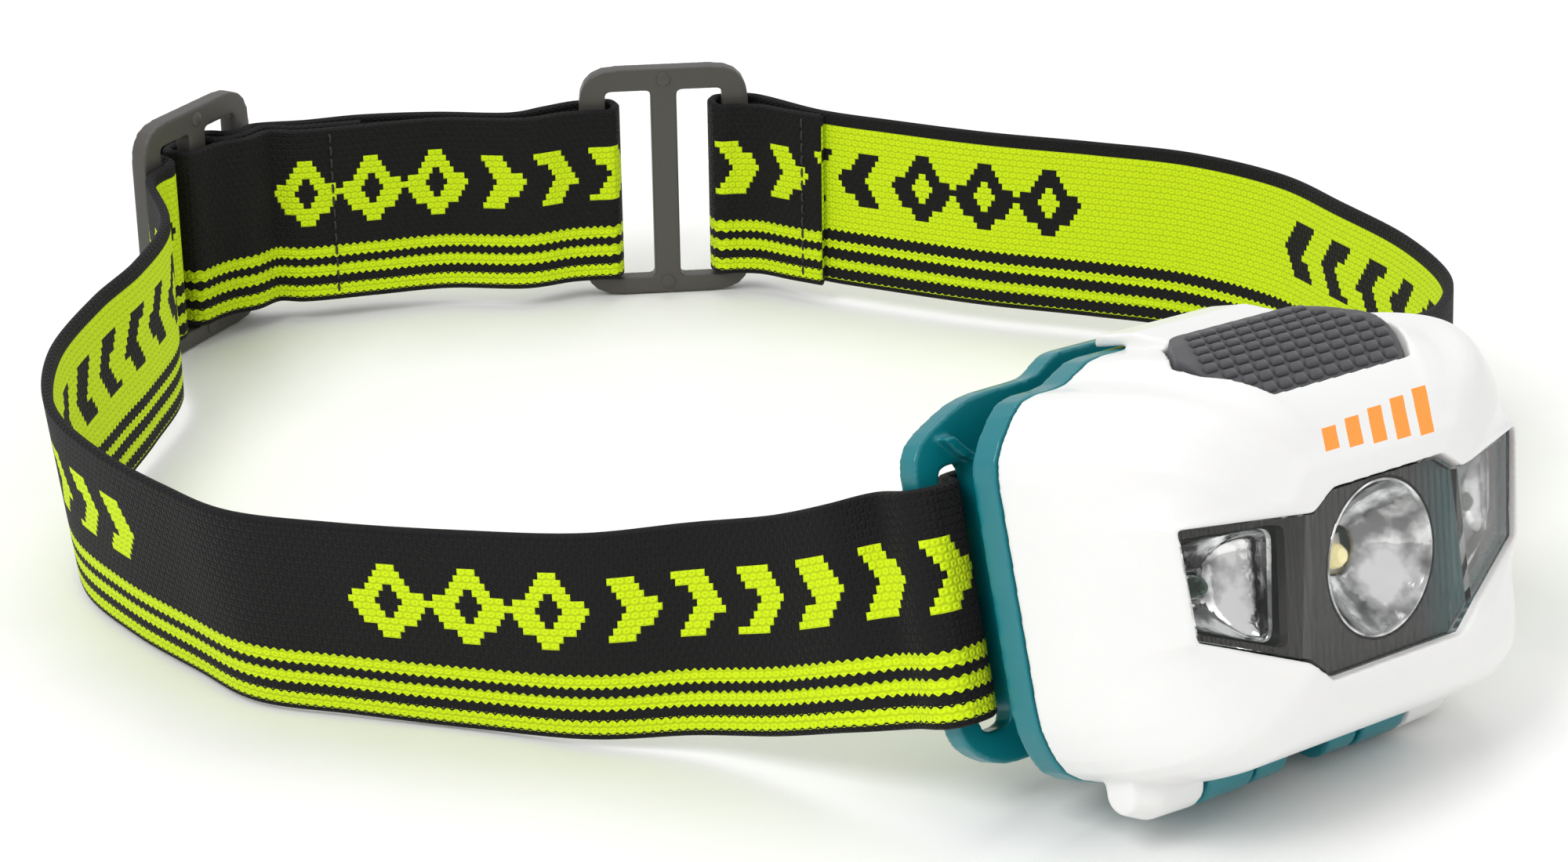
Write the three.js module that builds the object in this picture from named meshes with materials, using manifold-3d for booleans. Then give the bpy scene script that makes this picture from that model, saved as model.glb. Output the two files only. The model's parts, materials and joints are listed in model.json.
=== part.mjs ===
// A three-LED headlamp on an elastic head band, lying as it is put down on a table: the lamp leans
// back on its hinge lugs and the band stands on its lower edge behind it.  Units are millimetres, +Z up.
// The lamp is designed upright in its own frame (X across, -Y forward, Z up) and then leaned back.

import * as THREE from 'three';
import { mergeVertices } from 'three/addons/utils/BufferGeometryUtils.js';
import Module from 'manifold-3d';

const wasm = await Module();
wasm.setup();

// ---------------------------------------------------------------------------------------------
// Driving dimensions
// ---------------------------------------------------------------------------------------------
const GAP = 0.3; // between pieces that touch in the real lamp
const WALL = 1.8; // moulded wall thickness
const CASE_HALF = 30; // half the case's width
const SHOULDER_Z = 42.1; // top of the case beside the crest
const CREST_Z = 44.2; // top of the case in the middle
const SEAM_Y = -3.7; // joint between the front shell and the rear cover
const RIM_HEIGHT = 0.7; // how far the rim round the lens stands proud of it
const CORNER_FULLNESS = 0.35; // how much squarer the dome is towards its four corners
const OPTIC_Z = 20; // height of the spot beam's axis
const LEAN = 18.7; // degrees the lamp leans back
const ROLL = 4.6; // degrees the lamp leans to its right
const LAMP_LIFT = 1.35; // height of the lamp's own origin above the table

const PIN_Y = -9; // hinge pin under the case
const PIN_Z = 0.8;
const PIN_RADIUS = 1.2;
const PIN_HALF = 23;
const PIN_PLAY = 0.1;
const KNUCKLE_RADIUS = 3.4;

const CELL_RADIUS = 5.1; // AAA cell
const CELL_LENGTH = 44;
const CELL_PITCH = 10.85;
const CELL_Y = -9.9;
const CELL_Z = 21.3;
const TRAY_HALF = 25.7;

const BAND_WIDTH = 25;
const BAND_THICKNESS = 1.4;
const RAIL_FRONT = 5; // bracket plate, front and rear faces
const RAIL_BACK = 7.5;
const BRACKET_FOOT = 4.05; // lower edge of the bracket plate
const SLOT_INNER = 25.2;
const SLOT_OUTER = 29.8;

const SLIDER = { length: 23.4, height: 33, thickness: 2.4, bar: 3.6, foot: 2.4, head: 3.2 };
const BAND_LIFT = 2.8; // lower edge of the band above the sliders' feet
const BAND_REST = 0.05; // the same where the band lies on the table, its lower edge leaning a little
const LEFT_SLIDER = { x: -11, y: 178, heading: 20 };
const REAR_SLIDER = { x: 46.5, y: 147.5, heading: -36 };

// ---------------------------------------------------------------------------------------------
// Materials
// ---------------------------------------------------------------------------------------------
const material = (color, roughness, metalness = 0, extra = {}) =>
  new THREE.MeshStandardMaterial({ color, roughness, metalness, ...extra });

const MATERIALS = {
  white: material(0xf4f4f2, 0.35),
  teal: material(0x00737e, 0.4),
  clear: material(0xdfe6ea, 0.08, 0, { transparent: true, opacity: 0.35 }),
  bezel: material(0x34353a, 0.45),
  chrome: material(0xd6d8da, 0.1, 1),
  phosphor: material(0xf2d65a, 0.4),
  ceramic: material(0xe6e6e0, 0.5),
  rubber: material(0x44444a, 0.85),
  board: material(0x1d6b46, 0.5),
  tray: material(0x26272a, 0.55),
  cell: material(0x3f6fae, 0.35, 0.4),
  spring: material(0xb9bcc0, 0.25, 1),
  steel: material(0xa7aaae, 0.3, 1),
  seal: material(0x8c8f92, 0.8),
  wire: material(0xb3262a, 0.5),
  slider: material(0x4a4744, 0.45),
  band: material(0x262426, 0.9),
};

// ---------------------------------------------------------------------------------------------
// Geometry helpers
// ---------------------------------------------------------------------------------------------
const radians = THREE.MathUtils.degToRad;
const vec = (x, y, z) => new THREE.Vector3(x, y, z);
const mirrored = (points) => points.map(([x, ...rest]) => [-x, ...rest]).reverse();

/** Closed outline from its right half, which runs from the top to the bottom. */
const symmetric = (half) => [...half, ...mirrored(half)];

/** Outline with each corner rounded off by a short curve. */
function rounded(points, radius, steps = 3) {
  return points.flatMap((corner, i) => {
    const p = new THREE.Vector2(...corner);
    const before = new THREE.Vector2(...points.at(i - 1)).sub(p);
    const after = new THREE.Vector2(...points[(i + 1) % points.length]).sub(p);
    const reach = Math.min(radius, before.length() / 2.2, after.length() / 2.2);
    const from = before.setLength(reach).add(p);
    const to = after.setLength(reach).add(p);
    const curve = new THREE.QuadraticBezierCurve(from, p, to);
    return curve.getPoints(steps).map((q) => [q.x, q.y]);
  });
}

function circle(radius, cx = 0, cy = 0, segments = 28, from = 0, to = 360) {
  const full = to - from === 360;
  return Array.from({ length: full ? segments : segments + 1 }, (_, i) => {
    const angle = radians(from + ((to - from) * i) / segments);
    return [cx + radius * Math.cos(angle), cy + radius * Math.sin(angle)];
  });
}

const extrude = (points, depth) =>
  new THREE.ExtrudeGeometry(new THREE.Shape(points.map((p) => new THREE.Vector2(...p))), {
    depth,
    bevelEnabled: false,
  });

/** Plate with its outline in X and Z, between two values of Y. */
const plateXZ = (points, y0, y1) =>
  extrude(points, y1 - y0).rotateX(Math.PI / 2).translate(0, y1, 0);

/** Bar with its section in Y and Z, between two values of X. */
const barYZ = (points, x0, x1) =>
  extrude(points, x1 - x0)
    .applyMatrix4(new THREE.Matrix4().makeBasis(vec(0, 1, 0), vec(0, 0, 1), vec(1, 0, 0)))
    .translate(x0, 0, 0);

const plateXY = (points, z0, z1) => extrude(points, z1 - z0).translate(0, 0, z0);

const box = (x0, x1, y0, y1, z0, z1) =>
  new THREE.BoxGeometry(x1 - x0, y1 - y0, z1 - z0).translate((x0 + x1) / 2, (y0 + y1) / 2, (z0 + z1) / 2);

const closedProfile = (points) => [...points, points[0]];

function signedVolume(geometry) {
  const p = geometry.getAttribute('position');
  const index = geometry.getIndex().array;
  let volume = 0;
  for (let i = 0; i < index.length; i += 3) {
    const [a, b, c] = [0, 1, 2].map((k) => vec().fromBufferAttribute(p, index[i + k]));
    volume += a.dot(b.cross(c)) / 6;
  }
  return volume;
}

function indexed(positions, index) {
  const geometry = new THREE.BufferGeometry();
  geometry.setAttribute('position', new THREE.Float32BufferAttribute(positions, 3));
  geometry.setIndex([...index]);
  if (signedVolume(geometry) < 0) geometry.setIndex([...index].reverse());
  geometry.computeVertexNormals();
  return geometry;
}

/** Turned solid about local +Z from a profile of [radius, z]. */
function turned(profile, segments = 28) {
  const lathe = new THREE.LatheGeometry(profile.map((p) => new THREE.Vector2(...p)), segments);
  lathe.rotateX(Math.PI / 2);
  return indexed(Array.from(lathe.getAttribute('position').array), Array.from(lathe.getIndex().array));
}

/** Closed solid through rings of equal length: a torus, or a rod with closed ends when capped. */
function loft(rings, capped = false) {
  const n = rings[0].length;
  const index = [];
  const last = capped ? rings.length - 1 : rings.length;
  for (let r = 0; r < last; r++) {
    const next = (r + 1) % rings.length;
    for (let i = 0; i < n; i++) {
      const j = (i + 1) % n;
      index.push(r * n + i, r * n + j, next * n + j, r * n + i, next * n + j, next * n + i);
    }
  }
  const points = rings.flat();
  if (capped) {
    const end = (rings.length - 1) * n;
    const middle = (ring) => ring.reduce((sum, p) => sum.add(p), vec(0, 0, 0)).divideScalar(n);
    points.push(middle(rings[0]), middle(rings.at(-1)));
    for (let i = 0; i < n; i++) {
      const j = (i + 1) % n;
      index.push(end + n, j, i, end + n + 1, end + i, end + j);
    }
  }
  return indexed(points.flatMap((p) => [p.x, p.y, p.z]), index);
}

function solid(geometry) {
  const bare = geometry.clone();
  bare.deleteAttribute('normal');
  bare.deleteAttribute('uv');
  const merged = mergeVertices(bare, 1e-4);
  return new wasm.Manifold(
    new wasm.Mesh({
      numProp: 3,
      vertProperties: new Float32Array(merged.getAttribute('position').array),
      triVerts: new Uint32Array(merged.getIndex().array),
    }),
  );
}

function surface(manifold) {
  const mesh = manifold.getMesh();
  return indexed(Array.from(mesh.vertProperties), Array.from(mesh.triVerts));
}

const join = (first, ...others) => others.reduce((sum, g) => sum.add(solid(g)), solid(first));
const cut = (body, ...tools) => surface(tools.reduce((rest, g) => rest.subtract(solid(g)), body));

/** Rod of circular section along a smooth path. */
function rod(points, radius, sides = 8, steps = 16) {
  const path = new THREE.CatmullRomCurve3(points.map((p) => vec(...p)));
  const section = new THREE.Shape(circle(radius, 0, 0, sides).map((p) => new THREE.Vector2(...p)));
  return new THREE.ExtrudeGeometry(section, { steps, extrudePath: path, bevelEnabled: false });
}

const pinBore = (half) => barYZ(circle(PIN_RADIUS + PIN_PLAY, PIN_Y, PIN_Z), -half, half);

// ---------------------------------------------------------------------------------------------
// Case outline and lens outline, both seen from the front
// ---------------------------------------------------------------------------------------------
const CASE_OUTLINE = rounded(
  symmetric([
    [14.8, CREST_Z],
    [18.4, SHOULDER_Z],
    [25.2, SHOULDER_Z],
    [CASE_HALF, 36.6],
    [CASE_HALF, 8.5],
    [27.5, 3.2],
    [20.5, 0.6],
  ]),
  2.2,
  2,
);

const LENS_OUTLINE = symmetric([
  [8.6, 28.9],
  [11.6, 27],
  [26.3, 28.4],
  [24.9, 16.9],
  [13.1, 12.1],
  [10.1, 9.6],
]);

const WING_X = 12.2; // fold between the lens's centre and its wings

/** Front face of the lens: the centre slopes back towards its foot and the wings sweep back. */
const lensY = (x, z) => -28.3 + 0.13 * (28.9 - z) + 0.34 * Math.max(0, Math.abs(x) - WING_X);

const angleOf = ([x, z]) => Math.atan2(z - OPTIC_Z, x);

/** Point where a ray from the optic axis at the given angle leaves an outline. */
function rayPoint(outline, angle) {
  const [dx, dz] = [Math.cos(angle), Math.sin(angle)];
  let best = 0;
  outline.forEach(([ax, az], i) => {
    const [bx, bz] = outline[(i + 1) % outline.length];
    const [ex, ez] = [bx - ax, bz - az];
    const det = ex * dz - ez * dx;
    if (Math.abs(det) < 1e-9) return;
    const t = (ex * (az - OPTIC_Z) - ez * ax) / det;
    const s = (dx * (az - OPTIC_Z) - dz * ax) / det;
    if (s >= -1e-6 && s <= 1 + 1e-6) best = Math.max(best, t);
  });
  return [best * dx, OPTIC_Z + best * dz];
}

/** Shared ray angles: every corner of both outlines. */
const RAYS = [...CASE_OUTLINE, ...LENS_OUTLINE]
  .map(angleOf)
  .sort((a, b) => a - b)
  .filter((a, i, all) => i === 0 || a - all[i - 1] > 0.02);

/** The same outline drawn in towards the optic axis by a fixed distance. */
function inset(outline, distance) {
  return RAYS.map((angle) => {
    const [x, z] = rayPoint(outline, angle);
    const keep = 1 - distance / Math.hypot(x, z - OPTIC_Z);
    return [x * keep, OPTIC_Z + (z - OPTIC_Z) * keep];
  });
}

/** Rings of the domed front, from the seam forward to the lens opening, with its rim raised. */
function domeRings(outline, lens, depthLoss, steps, rim = 0) {
  return Array.from({ length: steps + 1 }, (_, k) => {
    const turn = (Math.PI / 2) * (k / steps);
    return RAYS.map((angle, i) => {
      const [ox, oz] = outline[i];
      const [lx, lz] = lens[i];
      const power = 1 - CORNER_FULLNESS * Math.sin(2 * angle) ** 2;
      const blend = 1 - Math.cos(turn) ** power;
      const raised = rim * THREE.MathUtils.smoothstep(blend, 0.66, 0.9);
      const depth = lensY(lx, lz) + depthLoss - raised - SEAM_Y;
      return vec(ox + (lx - ox) * blend, SEAM_Y + depth * Math.sin(turn) ** power, oz + (lz - oz) * blend);
    });
  });
}

// ---------------------------------------------------------------------------------------------
// Case
// ---------------------------------------------------------------------------------------------
const BUTTON_ORIGIN = [0, -23.5, 37.9];
const BUTTON_SLOPE = 24.2;
const BUTTON_OUTLINE = symmetric([
  [9.5, 14.8],
  [14.8, 8.8],
  [14.6, 5.5],
  [12, 1.6],
  [10.4, -0.4],
]);

/** Places a shape made in the button's sloping frame. */
const onSlope = (geometry) => geometry.rotateX(radians(BUTTON_SLOPE)).translate(...BUTTON_ORIGIN);

const grown = (outline, distance) => {
  const centreY = 7.5;
  return outline.map(([x, y]) => {
    const scale = 1 + distance / Math.hypot(x, y - centreY);
    return [x * scale, centreY + (y - centreY) * scale];
  });
};

/** Room under the case for the bracket's and the rear cover's hinge arms. */
function hingeRoom(halfWidth, top) {
  const passage = [[PIN_Y, -6], [PIN_Y, 4.6], [-4, top], [2, top + 0.3], [2, -6]];
  return [
    barYZ(circle(KNUCKLE_RADIUS + 0.45, PIN_Y, PIN_Z), -halfWidth, halfWidth),
    barYZ(passage, -halfWidth, halfWidth),
  ];
}

function taperedLug(side) {
  const ring = (x, radius) =>
    [...circle(radius, PIN_Y, PIN_Z, 12, 180, 360), [PIN_Y + radius, 3], [PIN_Y - radius, 3]].map(
      ([y, z]) => vec(side * x, y, z),
    );
  return loft([ring(16.3, KNUCKLE_RADIUS), ring(22.4, KNUCKLE_RADIUS - 0.2), ring(25.4, 1.9)], true);
}

function frontShell() {
  const outer = domeRings(inset(CASE_OUTLINE, 0), inset(LENS_OUTLINE, 0), 0, 20, RIM_HEIGHT);
  const inner = domeRings(inset(CASE_OUTLINE, WALL), inset(LENS_OUTLINE, 0), 2.4, 8).reverse();
  const under = CREST_Z + GAP;
  const tongue = [
    [-14, 42.2], [-9, 44.9], [-5, 45.8], [0.2, 45.8], [0.8, 45.2],
    [0.8, under], [-4, under], [-4, 42.6], [-9, 42.2],
  ];
  const body = join(
    loft([...outer, ...inner]),
    taperedLug(1),
    taperedLug(-1),
    barYZ(tongue, -9, 9),
  );
  return cut(
    body,
    ...hingeRoom(16.2, 3.1),
    pinBore(PIN_HALF + 0.4),
    onSlope(plateXY(grown(BUTTON_OUTLINE, 0.35), -9, 6)),
  );
}

function rearCover() {
  const outline = inset(CASE_OUTLINE, 0);
  const cavity = plateXZ(inset(CASE_OUTLINE, WALL), SEAM_Y - 1, -1.6);
  const arm = [[PIN_Y, -2.4], [-3, -0.9], [-0.3, 0.7], [-0.3, 3.6], [-3.6, 3.6], [PIN_Y, 4]];
  const tray = join(plateXZ(outline, SEAM_Y + GAP, 0)).subtract(solid(cavity));
  const hollow = cut(tray, ...hingeRoom(16.2, 3.1));
  const knuckles = [-1, 1].flatMap((side) => {
    const [x0, x1] = side > 0 ? [3.2, 7.9] : [-7.9, -3.2];
    return [barYZ(circle(KNUCKLE_RADIUS - 0.1, PIN_Y, PIN_Z), x0, x1), barYZ(arm, x0, x1)];
  });
  return cut(join(hollow, ...knuckles), pinBore(PIN_HALF));
}

function seal() {
  const ring = (distance, y) => inset(CASE_OUTLINE, distance).map(([x, z]) => vec(x, y, z));
  const [outer, inner] = [WALL + 0.25, WALL + 1.25];
  const band = loft([ring(outer, -3.4), ring(outer, -1.9), ring(inner, -1.9), ring(inner, -3.4)]);
  return cut(solid(band), ...hingeRoom(16.6, 3.6));
}

// ---------------------------------------------------------------------------------------------
// Optics
// ---------------------------------------------------------------------------------------------
/** Plate that follows the lens face, folded where the wings start. */
function foldedPlate(shrink, front, back) {
  const corners = LENS_OUTLINE.map(([x, z]) => {
    const keep = 1 - shrink / Math.hypot(x, z - OPTIC_Z);
    return [x * keep, OPTIC_Z + (z - OPTIC_Z) * keep];
  });
  const middle = corners.filter(([x]) => Math.abs(x) < 15);
  const wing = (side) => corners.filter(([x]) => side * x > 11);
  const n = corners.length;
  const at = ([x, z], shift) => [x, lensY(x, z) + shift, z];
  const positions = [...corners.map((c) => at(c, front)), ...corners.map((c) => at(c, back))].flat();
  const index = [];
  for (const panel of [middle, wing(1), wing(-1)]) {
    const contour = panel.map((c) => new THREE.Vector2(...c));
    const ids = panel.map((c) => corners.indexOf(c));
    for (const [a, b, c] of THREE.ShapeUtils.triangulateShape(contour, [])) {
      index.push(ids[a], ids[b], ids[c], n + ids[a], n + ids[c], n + ids[b]);
    }
  }
  for (let i = 0; i < n; i++) {
    const j = (i + 1) % n;
    index.push(i, n + j, n + i, i, j, n + j);
  }
  return indexed(positions, index);
}

const LENS_TILT = Math.atan(0.13);
const SPOT_Y = lensY(0, OPTIC_Z) + 1.8;

/** Places a shape turned about local +Z so that +Z points out of the lens. */
const alongBeam = (geometry, setBack = 0) =>
  geometry
    .translate(0, 0, -setBack)
    .rotateX(Math.PI / 2 + LENS_TILT)
    .translate(0, SPOT_Y, OPTIC_Z);

function lensBezel() {
  const beam = alongBeam(plateXY(circle(8.5), -8, 8));
  const window = (side) => {
    const opening = rounded([[13.3, 26.4], [25.1, 27.3], [23.9, 17.6], [13.9, 13.7]], 1.2);
    return plateXZ(side > 0 ? opening : mirrored(opening), -32, -15);
  };
  return cut(solid(foldedPlate(0.6, 1.6, 2.7)), beam, window(1), window(-1));
}

function spotReflector() {
  const bowl = [[2.3, -4.9], [3.6, -4.3], [5.4, -3], [7.2, -0.8], [7.9, 1]];
  const back = [[8.2, 1], [8.2, 0.2], [7.8, -1.2], [6, -3.6], [4.1, -4.9], [2.3, -5.4]];
  return alongBeam(turned(closedProfile([...bowl, ...back])), 0.9);
}

function sideReflector(side) {
  const ring = (outline, y) => outline.map(([x, z]) => vec(side * x, y(x, z), z));
  const mouth = [[13.5, 26.5], [24.8, 27.1], [23.7, 17.7], [14.1, 14]];
  const inner = [[15, 25.7], [23, 26.3], [22.3, 18.5], [15.4, 15.2]];
  const base = [[18.4, 23.4], [22.4, 23.4], [22.2, 19.8], [18.6, 19.4]];
  const throat = [[19, 22.9], [21.9, 22.9], [21.8, 20.3], [19.1, 20]];
  const rim = (x, z) => lensY(x, z) + 3.1;
  return loft([
    ring(mouth, rim),
    ring(base, () => -18.4),
    ring(throat, () => -18.4),
    ring(inner, rim),
  ]);
}

function sideLed(side) {
  const profile = [[0, 0], [1.2, 0], [1.2, 1.6], [1.05, 2.2], [0.6, 2.7], [0, 2.9]];
  return turned(profile, 16).rotateX(Math.PI / 2).translate(side * 20.5, -17.7, 21.5);
}

function spotLedBase() {
  return box(-2, 2, -18.5, -17.7, OPTIC_Z - 1.8, OPTIC_Z + 2.2);
}

function spotLedDome() {
  const profile = [[0, 0], [1.4, 0], [1.4, 0.5], [1.2, 1.1], [0.8, 1.6], [0, 1.9]];
  return turned(profile, 20).rotateX(Math.PI / 2).translate(0, -18.8, OPTIC_Z + 0.2);
}

// ---------------------------------------------------------------------------------------------
// Electronics and power
// ---------------------------------------------------------------------------------------------
const SCREW_PLACES = [[-17, 33], [17, 33], [-17, 10], [17, 10]];
const CELL_ROWS = [-1, 0, 1].map((row) => CELL_Z + row * CELL_PITCH);

const boreY = (radius, x, z, y0, y1) => plateXZ(circle(radius, x, z, 20), y0, y1);

function circuitBoard() {
  const outline = rounded(symmetric([[22.6, 35], [22.6, 8]]), 2);
  const holes = SCREW_PLACES.map(([x, z]) => boreY(1.2, x, z, -18, -16));
  return cut(solid(plateXZ(outline, -17.4, -16.4)), ...holes);
}

function screw([x, z]) {
  const cross = [box(-1.1, 1.1, -0.25, 0.25, 0.7, 2), box(-0.25, 0.25, -1.1, 1.1, 0.7, 2)];
  const profile = [[0, -1.9], [0.9, -1.9], [0.9, 0], [1.8, 0], [1.8, 0.6], [1.2, 1.2], [0, 1.2]];
  return cut(solid(turned(profile, 20)), ...cross).rotateX(Math.PI / 2).translate(x, -17.7, z);
}

/** The room inside the front shell, drawn in all round by a clearance. */
function caseRoom(clearance) {
  const outline = inset(CASE_OUTLINE, WALL + clearance);
  return loft(domeRings(outline, inset(LENS_OUTLINE, clearance), 2.4 + clearance, 8), true);
}

function batteryTray() {
  const reach = CELL_PITCH + CELL_RADIUS;
  const outline = (margin, half) =>
    symmetric([[half, CELL_Z + reach + margin], [half, CELL_Z - reach - margin]]);
  const block = plateXZ(rounded(outline(0.9, TRAY_HALF), 3), -16.1, -4.9);
  const cavity = plateXZ(rounded(outline(0.2, TRAY_HALF - 1), 2.4), -15.3, -4);
  const holes = SCREW_PLACES.map(([x, z]) => boreY(1.2, x, z, -17, -14));
  return cut(solid(block).intersect(solid(caseRoom(0.35))), cavity, ...holes);
}

/** One cell lying across the lamp, with its raised end towards +X or -X. */
function cell(z, facing) {
  const half = CELL_LENGTH / 2;
  const [r, nub] = [CELL_RADIUS, 1.9];
  const profile = [[0, -half], [r - 0.4, -half], [r, -half + 0.4], [r, half - 1.4], [r - 0.5, half - 0.9]];
  const end = [[nub, half - 0.9], [nub, half], [0, half]];
  return turned([...profile, ...end], 24).rotateY((facing * Math.PI) / 2).translate(0, CELL_Y, z);
}

const contactPlate = (z, side) => {
  const [x0, x1] = side > 0 ? [23.9, 24.3] : [-24.3, -23.9];
  return barYZ(rounded([[-14, z - 4], [-6, z - 4], [-6, z + 4], [-14, z + 4]], 1), x0, x1);
};

/** Coil between a cell's flat end and its contact plate. */
function contactSpring(z, side) {
  const [turns, from, to] = [1.6, 22.7, 23.2];
  const points = Array.from({ length: 20 }, (_, i) => {
    const t = i / 19;
    const angle = 2 * Math.PI * turns * t;
    const radius = 1.6 + 1.6 * t;
    const [y, up] = [CELL_Y + radius * Math.cos(angle), z + radius * Math.sin(angle)];
    return [side * (from + (to - from) * t), y, up];
  });
  return rod(points, 0.28, 6, 48);
}

/** Wire from the board's middle to a side light. */
function ledLead(side) {
  const route = [[8, 32.5], [13, 32.6], [17.5, 29], [20.3, 25]];
  return rod(route.map(([x, z]) => [side * x, -18.3, z]), 0.4);
}

// ---------------------------------------------------------------------------------------------
// Push button and its switch
// ---------------------------------------------------------------------------------------------
const POST_Y = 0.6;

function button() {
  const arch = [[-2, -1.7], [-2, 0.5], [3, 1.6], [7.5, 2.1], [12, 1.9], [17, 0.9], [17, -1.7]];
  const pad = solid(plateXY(rounded(BUTTON_OUTLINE, 1), -3, 4)).intersect(solid(barYZ(arch, -20, 20)));
  const post = plateXY(circle(1.3, 0, POST_Y + 0.3, 16), -4.9, -1);
  return onSlope(surface(pad.add(solid(post))));
}

function switchBody() {
  const well = plateXY(circle(1.3, 0, POST_Y - 0.3, 16), -8.3, -5);
  return onSlope(cut(solid(box(-3, 3, -1.7, 1.9, -8.8, -6.1)), well));
}

const switchCap = () => onSlope(plateXY(circle(1.1, 0, POST_Y - 0.3, 16), -7.2, -5.2));

// ---------------------------------------------------------------------------------------------
// Bracket
// ---------------------------------------------------------------------------------------------
function bracketRib(side) {
  const edge = [[29.4, 39], [27.2, 36.8], [25, 34.4], [24.7, 20], [24.7, 11], [23.4, 6]];
  const curve = new THREE.SplineCurve(edge.map((p) => new THREE.Vector2(...p))).getPoints(14);
  const outline = [...curve.map((p) => [p.x, p.y]), ...curve.reverse().map((p) => [p.x - 1.6, p.y])];
  return plateXZ(side > 0 ? outline : mirrored(outline), 3.6, RAIL_FRONT + 0.5);
}

function bracket() {
  const top = [[11, 44.6], [14, 42.6], [24.5, 42.4], [33, 38.6]];
  const foot = [[33, 7.5], [28, BRACKET_FOOT], [17, BRACKET_FOOT]];
  const outline = rounded(symmetric([...top, ...foot]), 3);
  const slot = rounded([[SLOT_INNER, 8], [SLOT_OUTER, 8], [SLOT_OUTER, 36], [SLOT_INNER, 36]], 1.4, 2);
  const arm = [
    [PIN_Y, -2.6], [-5, -1.75], [0, -0.05], [4.5, 1.6], [RAIL_BACK, BRACKET_FOOT], [RAIL_BACK, 8],
    [RAIL_FRONT, 8], [RAIL_FRONT, 5], [3.4, 3.6], [0, 2.6], [-5, 2.1], [PIN_Y, 2.6],
  ];
  const arms = [[8.6, 15.7], [-15.7, -8.6]].flatMap(([x0, x1]) => [
    barYZ(circle(KNUCKLE_RADIUS, PIN_Y, PIN_Z), x0, x1),
    barYZ(arm, x0, x1),
  ]);
  const body = join(plateXZ(outline, RAIL_FRONT, RAIL_BACK), bracketRib(1), bracketRib(-1), ...arms);
  return cut(body, plateXZ(slot, 0, 12), plateXZ(mirrored(slot), 0, 12), pinBore(PIN_HALF + 2));
}

const hingePin = () => barYZ(circle(PIN_RADIUS, PIN_Y, PIN_Z), -PIN_HALF, PIN_HALF);

// ---------------------------------------------------------------------------------------------
// Head band and sliders
// ---------------------------------------------------------------------------------------------
const LAMP_FRAME = new THREE.Matrix4().makeRotationFromEuler(
  new THREE.Euler(-radians(LEAN), radians(ROLL), 0, 'YXZ'),
);

/** Band station on the lamp: a place in the lamp's X and Y, with the band along the lamp's Z. */
function atLamp(x, y) {
  const [low, high] = [9.7, 9.7 + BAND_WIDTH].map((z) => vec(x, y, z).applyMatrix4(LAMP_FRAME));
  const lift = vec(0, 0, LAMP_LIFT);
  return { low: low.add(lift), high: high.add(lift) };
}

/** Free band station: lower edge, and how far the upper edge leans over in X and Y. */
const free = (x, y, z, dx = 0, dy = 0) => ({
  low: vec(x, y, z),
  high: vec(x + dx, y + dy, z + BAND_WIDTH),
});

/** Band station beside a slider: a place along it and outwards from it. */
function atSlider(slider, along, out) {
  const turn = radians(slider.heading);
  const x = slider.x + along * Math.cos(turn) - out * Math.sin(turn);
  const y = slider.y + along * Math.sin(turn) + out * Math.cos(turn);
  return free(x, y, BAND_LIFT);
}

const NEAR = SLIDER.thickness / 2 + BAND_THICKNESS / 2 + 0.4; // middle of the first layer on a bar

/** Route from the front of a bracket rail, through its slot, to the back of the bracket. */
const THROUGH_SLOT = [
  [32.8, 3.7], [31.2, 3.6], [29.2, 4], [27.6, 5.4],
  [26.7, 7.4], [25.6, 8.9], [23, 9.3], [12, 9.2],
];

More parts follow.
